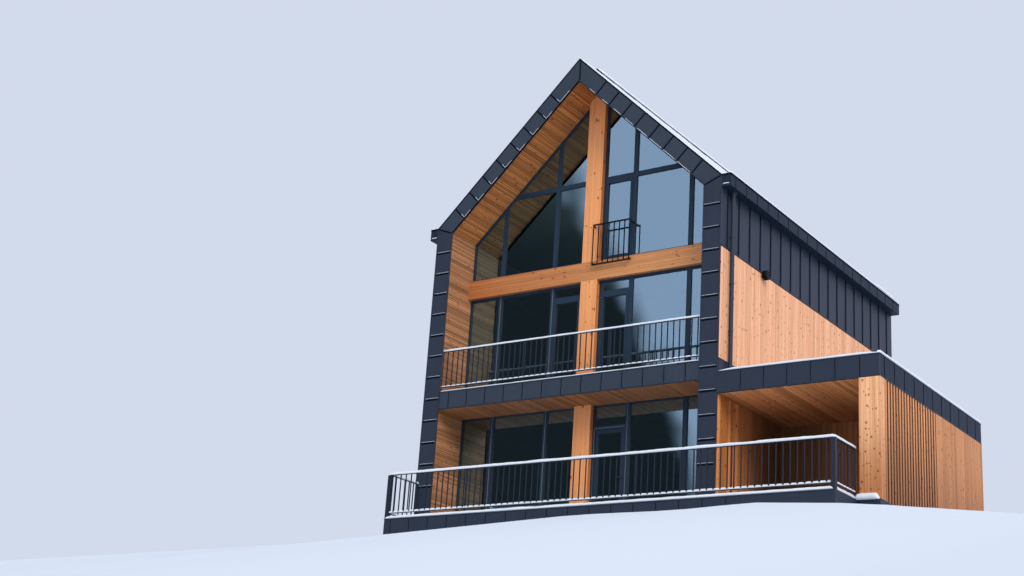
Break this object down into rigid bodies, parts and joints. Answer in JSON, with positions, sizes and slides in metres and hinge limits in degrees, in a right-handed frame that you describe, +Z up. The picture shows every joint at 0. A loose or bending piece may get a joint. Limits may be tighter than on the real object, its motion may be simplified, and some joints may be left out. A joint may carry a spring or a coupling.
{
  "type": "alpine chalet",
  "caption": "Gabled timber chalet with a glazed front set back in a dark metal frame, a balcony, a railed terrace and a flat-roofed annex.",
  "frame": {"origin": "middle of the whole footprint, at the foot of the base", "axes": "+Z up, +Y from the glazed front to the rear, +X to the right along the front"},
  "size_m": [11.31, 10.645, 11.5696],
  "materials": {
    "concrete": "matt cast concrete",
    "dark_metal": "matt anthracite coated sheet",
    "roof_metal": "matt anthracite coated sheet",
    "deck_boards": "oiled larch boards",
    "floor_boards": "satin oak boards",
    "wall_panels": "pale sanded panels",
    "timber_boards": "oiled larch boards",
    "laminated_timber": "oiled laminated spruce",
    "window_metal": "satin anthracite",
    "glass": "clear insulating glass",
    "railing_metal": "satin anthracite",
    "handle_steel": "brushed",
    "lamp_metal": "matt black"
  },
  "bodies": {
    "house": {"annex_base": "concrete", "annex_deck": "deck_boards", "annex_front_fascia": "dark_metal", "annex_pier": "timber_boards", "annex_rear_fascia": "dark_metal", "annex_roof": "roof_metal", "annex_side_fascia": "dark_metal", "annex_soffit": "timber_boards", "attic_beam": "laminated_timber", "attic_floor": "floor_boards", "attic_glass": "glass", "attic_glazing_frames": "window_metal", "balcony_fascia": "dark_metal", "balcony_railing": "railing_metal", "balcony_slab": "deck_boards", "balcony_soffit": "timber_boards", "central_post": "laminated_timber", "corner_bands": "dark_metal", "downpipes": "dark_metal", "eave_gutters": "dark_metal", "first_floor": "floor_boards", "first_floor_glass": "glass", "first_floor_glazing_frames": "window_metal", "ground_floor": "floor_boards", "ground_glass": "glass", "ground_glazing_frames": "window_metal", "house_base": "concrete", "juliet_railing": "railing_metal", "left_rake_band": "dark_metal", "left_roof": "roof_metal", "left_roof_soffit": "timber_boards", "left_wall": "wall_panels", "plinth_cladding": "dark_metal", "rear_metal_cladding": "dark_metal", "rear_timber_cladding": "timber_boards", "rear_wall": "wall_panels", "rear_window_frames": "window_metal", "rear_window_glass": "glass", "reveal_linings": "timber_boards", "ridge_cap": "dark_metal", "right_rake_band": "dark_metal", "right_roof": "roof_metal", "right_roof_soffit": "timber_boards", "right_wall": "wall_panels", "side_metal_cladding": "dark_metal", "side_timber_cladding": "timber_boards", "slat_screen": "timber_boards", "store_front_wall": "timber_boards", "store_rear_wall": "timber_boards", "store_side_wall": "timber_boards", "terrace_base": "concrete", "terrace_deck": "deck_boards", "terrace_door_frame": "window_metal", "terrace_railing": "railing_metal", "terrace_side_railings": "railing_metal", "wall_lamp": "lamp_metal"},
    "terrace_door": {"terrace_door_leaf": "window_metal", "terrace_door_glass": "glass", "terrace_door_handle": "handle_steel"}
  },
  "joints": [
    {"name": "terrace_door_hinge", "type": "hinge", "parent": "house", "child": "terrace_door", "pos_m": [-1.3525, -3.1875, 1.55], "axis": [0, 0, 1], "range_deg": [0, 90]}
  ]
}
